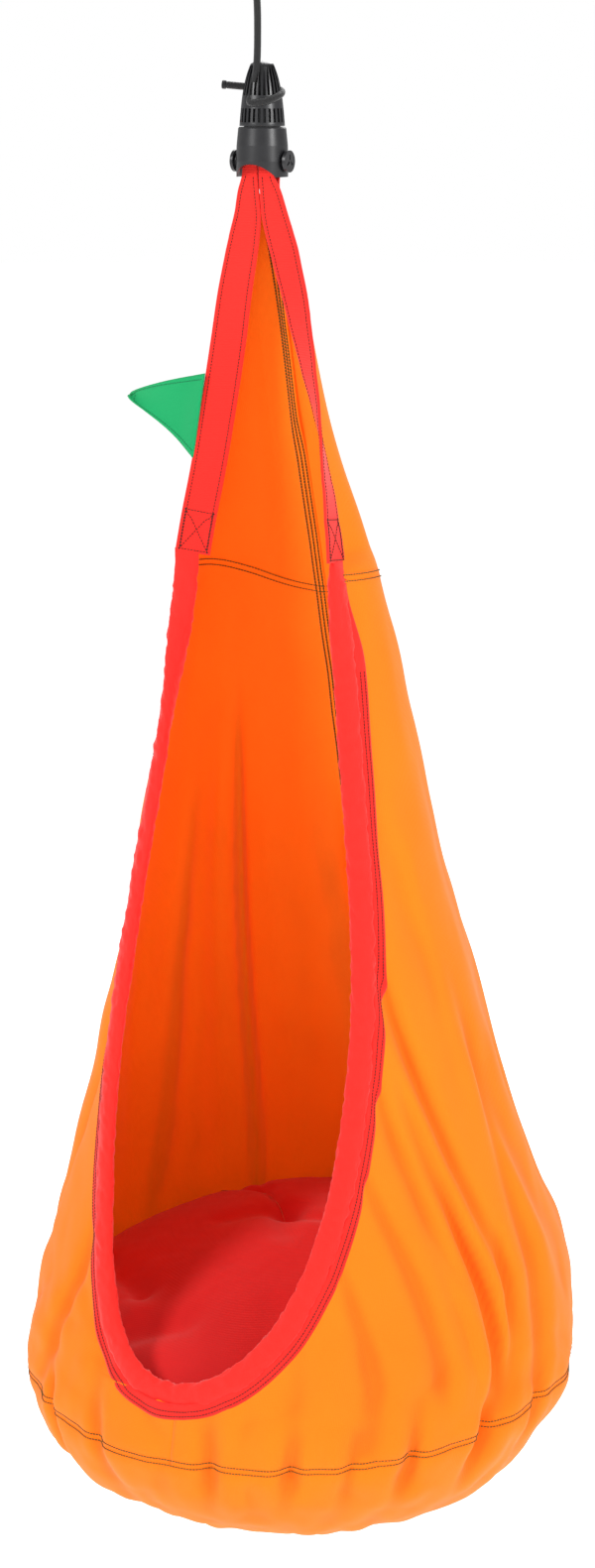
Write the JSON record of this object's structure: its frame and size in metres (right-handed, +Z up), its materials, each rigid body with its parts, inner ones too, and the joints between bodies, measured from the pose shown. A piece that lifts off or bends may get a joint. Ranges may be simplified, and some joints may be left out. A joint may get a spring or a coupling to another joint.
{
  "type": "hanging nest swing",
  "caption": "Child's teardrop fabric nest with a padded mouth and a loose cushion, hung on two straps from a swivel, rope, ring and ceiling plate.",
  "frame": {"origin": "centre of the ceiling plate's top face, between its four screw holes", "axes": "+Z up along the rope, the nest hangs at -Z, its mouth faces -Y, +X is to the right of a viewer who faces the mouth"},
  "size_m": [0.6536, 0.6065, 1.8846],
  "materials": {
    "plate_steel": "satin zinc-plated",
    "ring_steel": "polished",
    "rope_black": "braided",
    "sleeve_black": "matte",
    "swivel_plastic": "semi-gloss moulded",
    "bearing_plastic": "smooth",
    "axle_steel": "turned",
    "strap_red": "woven webbing",
    "leaf_green": "woven cotton",
    "rim_red": "woven cotton",
    "filling_white": "soft foam",
    "shell_orange": "woven cotton canvas",
    "cushion_red": "woven cotton"
  },
  "bodies": {
    "ceiling_mount": {"ceiling_plate": "plate_steel", "plate_eye": "plate_steel"},
    "ring": {"hanging_ring": "ring_steel"},
    "hanger": {"suspension_rope": "rope_black", "rope_tip": "rope_black", "rope_sleeve": "sleeve_black", "swivel_head": "swivel_plastic", "swivel_base": "swivel_plastic", "thrust_bearing": "bearing_plastic"},
    "collar": {"swivel_axle": "axle_steel", "slide_washer": "bearing_plastic", "axle_nut": "axle_steel", "swivel_collar": "swivel_plastic", "strap_pin": "axle_steel", "pin_sleeve": "bearing_plastic", "pin_cap_left": "swivel_plastic", "pin_cap_right": "swivel_plastic"},
    "nest": {"strap_left": "strap_red", "strap_right": "strap_red", "leaf_flag": "leaf_green", "rim_cover": "rim_red", "rim_foam": "filling_white", "upper_panel_left": "shell_orange", "upper_panel_right": "shell_orange", "wall_panel_left": "shell_orange", "wall_panel_right": "shell_orange", "bottom_panel": "shell_orange"},
    "cushion": {"cushion_cover": "cushion_red", "cushion_filling": "filling_white"}
  },
  "joints": [
    {"name": "ring_swing", "type": "hinge", "parent": "ceiling_mount", "child": "ring", "pos_m": [0, 0, -0.035], "axis": [1, 0, 0], "range_deg": [-35, 35]},
    {"name": "rope_swing", "type": "hinge", "parent": "ring", "child": "hanger", "pos_m": [0, 0, -0.0632], "axis": [0, 1, 0], "range_deg": [-35, 35]},
    {"name": "collar_swivel", "type": "hinge", "parent": "hanger", "child": "collar", "pos_m": [0, 0.01, -0.29], "axis": [0, 0, 1], "continuous": true},
    {"name": "nest_rock", "type": "hinge", "parent": "collar", "child": "nest", "pos_m": [0, 0.01, -0.309], "axis": [1, 0, 0], "range_deg": [-8, 8]},
    {"name": "cushion_lift", "type": "slide", "parent": "nest", "child": "cushion", "axis": [0, 0, 1], "range_m": [0, 0.03]}
  ]
}
